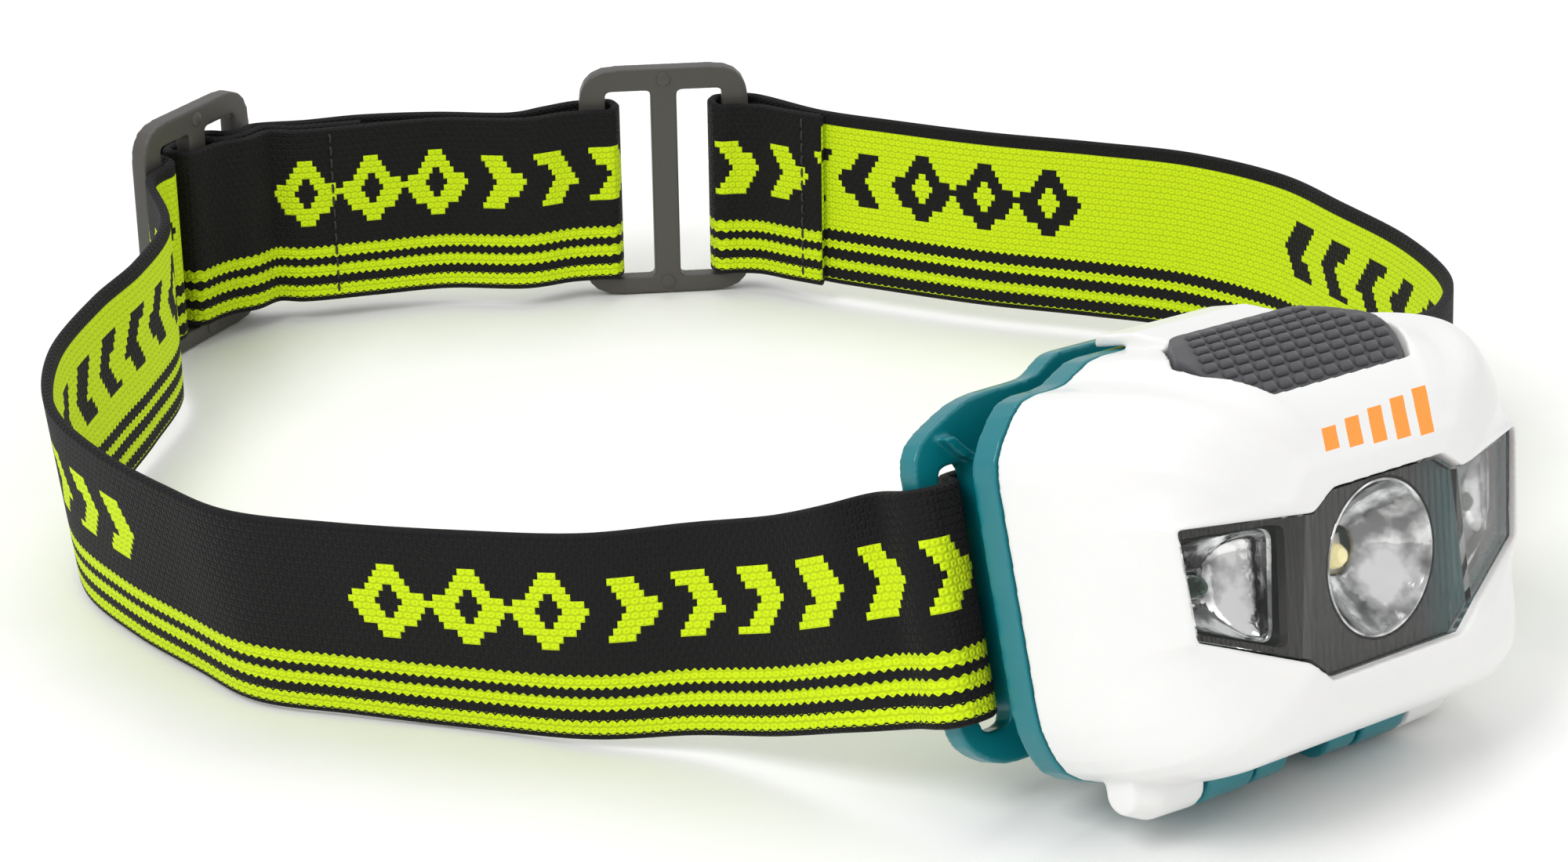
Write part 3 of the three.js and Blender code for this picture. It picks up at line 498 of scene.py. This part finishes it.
def band_stations():
    """Lower and upper edge of the band at each place on its route, from sewn end to sewn end."""
    tail_wrap = [(10.6, -4.1), (6.8, -3.4), (4.1, -2), (3.3, 0), (2.9, 1.9), (0, NEAR), (-2.9, 1.9),
                 (-3.3, 0), (-2.9, -1.9), (0, -2.4), (2.6, -3.2), (5.4, -5), (9.4, -5.9)]
    rear_wrap = [(-13.6, -2.6), (-9.9, -NEAR), (-7.5, -2.2), (-6.7, 0), (-7.5, 2.2), (-9.9, NEAR),
                 (-12.4, 2.1), (-16.5, 0.3)]
    over = [(10.4, -NEAR), (8.2, -NEAR), (6.5, -1.2), (5.6, 1.2), (3.6, 3.4), (0, 4.1), (-3.6, 3.4),
            (-5.6, 1.2), (-6.5, -1.2), (-8.2, -NEAR), (-10.4, -NEAR), (-13.5, -3.2)]
    flap_wrap = [(12.4, 2.1), (9.9, NEAR), (7.5, 2.2), (6.7, 0), (7.5, -2.2), (9.9, -NEAR), (13, -3)]
    return [
        free(11.4, 170.3), free(3.5, 174.8),
        *at_slider(LEFT_SLIDER, tail_wrap),
        free(2.4, 173), free(11, 168.4), free(20, 163.5), free(28, 155.6),
        *at_slider(REAR_SLIDER, rear_wrap),
        free(28.6, 158.4), free(20.8, 166.2), free(12.6, 172.4), free(6, 175.6),
        *at_slider(LEFT_SLIDER, over),
        free(-30, 155.5, 2.6), free(-40.5, 146, 2.2), free(-49, 139.5, 1.6, -1, 1),
        free(-60, 130.5, 0.8, -2, 0.5), free(-67.5, 118, 0.1, -3, 0),
        free(-69.6, 104, BAND_REST, -4, -0.4), free(-69.5, 91, BAND_REST, -4.3, -1),
        free(-69, 81, BAND_REST, -3.6, -1.6), free(-63, 71, BAND_REST, -3, -2.4),
        free(-55.5, 59.5, BAND_REST, -2.2, -1.6), free(-48.5, 47.5, 0.8, -1, -0.8),
        free(-42, 38, 2.6), free(-38.6, 28, 5, 0.6, 1.6), free(-36.6, 19, 8, 0.6, 4),
        at_lamp(-34.6, 9.4), at_lamp(-34.4, 5.2),
        *[at_lamp(-x, y) for x, y in THROUGH_SLOT],
        at_lamp(0, 9.2),
        *[at_lamp(x, y) for x, y in reversed(THROUGH_SLOT)],
        at_lamp(34.6, 5.4), at_lamp(36.4, 9),
        free(47, 14.5, 6, 1, 4.5), free(60.5, 20, 4, 0.4, 2.4), free(71.5, 29, 3, 0, 0.8),
        free(78.6, 42), free(82.4, 56), free(85, 68), free(83, 82), free(77, 94),
        free(69.5, 107), free(63.6, 120), free(59.8, 129.6),
        *at_slider(REAR_SLIDER, flap_wrap),
        free(56.8, 132.6), free(58.4, 128.1),
    ]


def smooth_curve(points):
    """Centripetal curve through points, as a function of 0 to 1."""
    def at(t):
        place = (len(points) - 1) * min(max(t, 0.0), 1.0)
        i = min(int(place), len(points) - 2)
        w = place - i
        p1, p2 = points[i], points[i + 1]
        p0 = points[i - 1] if i else 2 * p1 - p2
        p3 = points[i + 2] if i + 2 < len(points) else 2 * p2 - p1
        d0, d1, d2 = ((b - a).length ** 0.5 for a, b in ((p0, p1), (p1, p2), (p2, p3)))
        m1 = ((p1 - p0) / d0 - (p2 - p0) / (d0 + d1) + (p2 - p1) / d1) * d1
        m2 = ((p2 - p1) / d1 - (p3 - p1) / (d1 + d2) + (p3 - p2) / d2) * d1
        start = (2 * w ** 3 - 3 * w ** 2 + 1) * p1 + (w ** 3 - 2 * w ** 2 + w) * m1
        return start + (3 * w ** 2 - 2 * w ** 3) * p2 + (w ** 3 - w ** 2) * m2
    return at


def band_section():
    """Points round the band's section: across it, and out from its middle, in millimetres."""
    edge = BAND_WIDTH / 2 - EDGE_ROLL
    face = [-edge + 2 * edge * i / 20 for i in range(21)]
    turns = [math.radians(90 - 30 * i) for i in range(1, 6)]
    top = [(edge + EDGE_ROLL * math.cos(a), EDGE_ROLL * math.sin(a)) for a in turns]
    bottom = [(-a, -o) for a, o in top]
    return [(a, BAND_HALF) for a in face] + top + [(a, -BAND_HALF) for a in reversed(face)] + bottom


def band_frames(per_station=12):
    """Middle, crosswise and outward directions, and distance along, all the way round the band."""
    stations = band_stations()
    low, high = (smooth_curve([station[k] for station in stations]) for k in (0, 1))
    steps = len(stations) * per_station

    def middle(t):
        return (low(t) + high(t)) / 2

    frames, travelled, previous = [], 0.0, middle(0)
    for i in range(steps + 1):
        t = i / steps
        here = middle(t)
        travelled += (here - previous).length
        previous = here
        across = (high(t) - low(t)).normalized()
        ahead = middle(min(1, t + 1e-4)) - middle(max(0, t - 1e-4))
        frames.append((here, across, ahead.cross(across).normalized(), travelled / MM))
    return frames


def make_band(materials):
    frames, section = band_frames(), band_section()
    rings = [[here + across * a * MM + out * o * MM for a, o in section] for here, across, out, _ in frames]
    vertices, faces = loft(rings)
    band = new_piece("knitted_band", vertices, faces, "band", materials["band"])
    values = {
        "along": [travelled for *_, travelled in frames for _ in section],
        "across": [a + BAND_WIDTH / 2 for _ in frames for a, _ in section],
        "outer": [0.5 + o / (2 * BAND_HALF) for _ in frames for _, o in section],
    }
    for name, numbers in values.items():
        band.data.attributes.new(name, "FLOAT", "POINT").data.foreach_set("value", numbers)
    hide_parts("head_band")
    length = frames[-1][3] * MM
    on_inner_layer = stand(6.5, 170.4, BAND_LIFT + BAND_WIDTH / 2)
    tail_seam = min(frames, key=lambda item: (item[0] - on_inner_layer).length)
    flap_seam = min(frames, key=lambda item: abs(item[3] * MM - length + 2.6 * MM))
    seams = [sewn_row("tail_seam", tail_seam, materials), sewn_row("flap_seam", flap_seam, materials)]


SEAM_STITCH, SEAM_STEP, SEAM_START = 1.35, 1.8, -11.2  # mm across the band
THREAD_RADIUS = 0.17


def stitch(start, across, out, side):
    """One thread stitch, arched out from the band's face."""
    rings = []
    for i in range(7):
        t = i / 6
        lift = BAND_HALF - 0.12 + 0.22 * math.sin(math.pi * t)
        centre = start + (across * SEAM_STITCH * t + out * lift) * MM
        turns = [2 * math.pi * j / 6 for j in range(6)]
        rings.append([centre + (side * math.cos(a) + out * math.sin(a)) * THREAD_RADIUS * MM for a in turns])
    return loft(rings)


def sewn_row(name, place, materials):
    """A row of short thread stitches across the band, standing a little proud of its outer face."""
    here, across, out, _ = place
    side = across.cross(out)
    starts = [here + across * (SEAM_START + SEAM_STEP * k) * MM for k in range(13)]
    vertices, faces = gather(stitch(start, across, out, side) for start in starts)
    return new_piece(name, vertices, faces, "band", materials["black_plastic"])


# ---------------------------------------------------------------------------------------------
# Optics
# ---------------------------------------------------------------------------------------------
OPTIC_Z = 20
SPOT_Y = -25.34
SIDE_MOUTH = [(13.8, 26.2), (24.5, 26.8), (23.4, 18), (14.4, 14.3)]
BEAM_TILT = math.atan(0.13)


def lens_y(x, z):
    return -28.3 + 0.13 * (28.9 - z) + 0.34 * max(0.0, abs(x) - 12.2)


def turned_rings(profile, matrix, segments=72):
    turns = [2 * math.pi * i / segments for i in range(segments)]

    def ring(r, z):
        return [matrix @ (Vector((r * math.cos(a), r * math.sin(a), z)) * MM) for a in turns]

    return [ring(r, z) for r, z in profile]


BOWL_THROAT, BOWL_DEPTH, BOWL_BASE = 2.3, 5.9, -4.9
BOWL_OPENING = 9.68  # growth of the squared radius per mm of depth


def make_spot_reflector(materials):
    depths = [BOWL_DEPTH * i / 24 for i in range(25)]
    bowl = [(math.sqrt(BOWL_THROAT ** 2 + BOWL_OPENING * d), BOWL_BASE + d) for d in depths]
    lip = [(8.05, 1.12), (8.2, 1.05), (8.25, 0.8)]
    back = [(r + 0.3, z - 0.3) for r, z in reversed(bowl[:-2])]
    place = LAMP @ Matrix.Translation((0, SPOT_Y * MM, OPTIC_Z * MM))
    place = place @ Matrix.Rotation(math.pi / 2 + BEAM_TILT, 4, "X") @ Matrix.Translation((0, 0, -0.9 * MM))
    vertices, faces = loft(turned_rings(bowl + lip + back, place), closed=True)
    piece = new_piece("spot_bowl", vertices, faces, "case", materials["chrome"])
    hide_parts("spot_reflector")


def rounded_quad(corners, radius=1.6, steps=6):
    """Corner-rounded outline from four corners."""
    points = []
    for i, corner in enumerate(corners):
        corner = Vector(corner)
        before = corner + (Vector(corners[i - 1]) - corner).normalized() * radius
        after = corner + (Vector(corners[(i + 1) % 4]) - corner).normalized() * radius
        for k in range(steps + 1):
            t = k / steps
            points.append((1 - t) ** 2 * before + 2 * t * (1 - t) * corner + t ** 2 * after)
    return points


def make_side_reflector(side, name, materials):
    """Hollow dish from the window down to the side light."""
    mouth = rounded_quad(SIDE_MOUTH)
    throat = rounded_quad([(19, 22.9), (21.9, 22.9), (21.8, 20.3), (19.1, 20)], 0.8)
    rings = []
    for shell in (0.0, 0.35):
        sweep = []
        for k in range(13):
            t = k / 12
            narrow = 1 - math.cos(t * math.pi / 2)
            ring = []
            for wide, small in zip(mouth, throat):
                x, z = wide.lerp(small, narrow)
                rim = lens_y(x, z) + 3.1
                ring.append(lamp(side * x, rim + (-18.4 - rim) * math.sin(t * math.pi / 2) + shell, z))
            sweep.append(ring)
        rings += sweep if shell == 0 else list(reversed(sweep))
    vertices, faces = loft(rings, closed=True)
    piece = new_piece(f"side_dish_{name}", vertices, faces, "case", materials["chrome"])
    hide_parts(f"side_reflector_{name}")


# ---------------------------------------------------------------------------------------------
# Button
# ---------------------------------------------------------------------------------------------
BUTTON_HALF = [(9.5, 14.8), (14.8, 8.8), (14.6, 5.5), (12, 1.6), (10.4, -0.4)]
BUTTON_ARCH = [(-2, 0.5), (3, 1.6), (7.5, 2.1), (12, 1.9), (17, 0.9)]
BUTTON_PLACE = Matrix.Translation(Vector((0, -23.5, 37.9)) * MM)
SLOPE = LAMP @ BUTTON_PLACE @ Matrix.Rotation(math.radians(24.2), 4, "X")


def arch_height(y):
    for (y0, z0), (y1, z1) in zip(BUTTON_ARCH, BUTTON_ARCH[1:]):
        if y <= y1:
            return z0 + (z1 - z0) * (y - y0) / (y1 - y0)
    return BUTTON_ARCH[-1][1]


def on_button(x, y, margin):
    """True if a place is inside the button's outline by a margin."""
    outline = BUTTON_HALF + [(-px, py) for px, py in reversed(BUTTON_HALF)]
    for i, (ax, ay) in enumerate(outline):
        bx, by = outline[(i + 1) % len(outline)]
        side = (bx - ax) * (y - ay) - (by - ay) * (x - ax)
        if -side / math.hypot(bx - ax, by - ay) < margin:
            return False
    return True


BRICK_STEP, BRICK_ROW, BRICK_START = 2.35, 1.68, 0.9  # mm
BRICK_HALF_LENGTH, BRICK_HALF_WIDTH, BRICK_MARGIN = 0.98, 0.62, 1.15


def brick(x, y):
    """One low brick with rounded corners, standing on the arched top of the button."""
    rings = []
    for scale, height in ((1.0, -0.15), (0.97, 0.2), (0.82, 0.38), (0.5, 0.46)):
        ring = []
        for j in range(16):
            angle = 2 * math.pi * j / 16
            cos, sin = math.cos(angle), math.sin(angle)
            dx = math.copysign(abs(cos) ** 0.5, cos) * BRICK_HALF_LENGTH * scale
            dy = math.copysign(abs(sin) ** 0.5, sin) * BRICK_HALF_WIDTH * scale
            place = Vector((x + dx + 0.35 * dy, y + dy, arch_height(y + dy) + height))
            ring.append(SLOPE @ (place * MM))
        rings.append(ring)
    return loft(rings)


def make_button_grip(materials):
    """Rows of low rounded bricks on the button, each row set half a brick along."""
    bricks = []
    for row in range(9):
        y = BRICK_START + BRICK_ROW * row
        shift = 1.17 if row % 2 else 0  # about half a brick
        places = [BRICK_STEP * column + shift for column in range(-6, 7)]
        bricks += [brick(x, y) for x in places if on_button(x, y, BRICK_MARGIN)]
    vertices, faces = gather(bricks)
    new_piece("button_grip", vertices, faces, "button", materials["rubber"])


def make_slider_marks(name, slider, materials):
    """Round ejector marks, standing 0.15 mm proud, on the slider's two cross bars."""
    x, y, heading = slider
    facing = Matrix.Translation(stand(x, y, 0)) @ Matrix.Rotation(math.radians(heading), 4, "Z")
    upright = Matrix.Rotation(math.pi / 2, 4, "X")
    profile = [(1.0, -0.3), (1.0, 0.1), (0.92, 0.15)]
    places = [facing @ Matrix.Translation((0, -1.2 * MM, z * MM)) @ upright for z in (31.4, 1.6)]
    vertices, faces = gather(loft(turned_rings(profile, place, 28)) for place in places)
    new_piece(name, vertices, faces, "band", materials["slider"])


# ---------------------------------------------------------------------------------------------
# Everything together
# ---------------------------------------------------------------------------------------------
def dress_nodes(materials):
    for part in RECORD["subparts"]:
        node = frame["nodes"][part["node"]]
        for slot in node.material_slots:
            slot.material = materials[part["material_slot"]]
    soften("front_shell", 0.2, 20)
    for node in ("rear_cover", "bracket", "left_slider", "rear_slider", "button"):
        soften(node, 0.2, 12)
    for node in ("lens_cover", "lens_bezel", "circuit_board", "switch_body", "battery_tray"):
        ease_edges(node, 0.15)
    frame["nodes"]["lens_cover"].visible_shadow = False  # light reaches the reflectors through it


def main():
    materials = make_materials()
    add_camera()
    add_studio()
    dress_nodes(materials)
    make_band(materials)
    make_spot_reflector(materials)
    make_side_reflector(-1, "left", materials)
    make_side_reflector(1, "right", materials)
    make_button_grip(materials)
    make_slider_marks("left_slider_marks", LEFT_SLIDER, materials)
    make_slider_marks("rear_slider_marks", REAR_SLIDER, materials)


main()
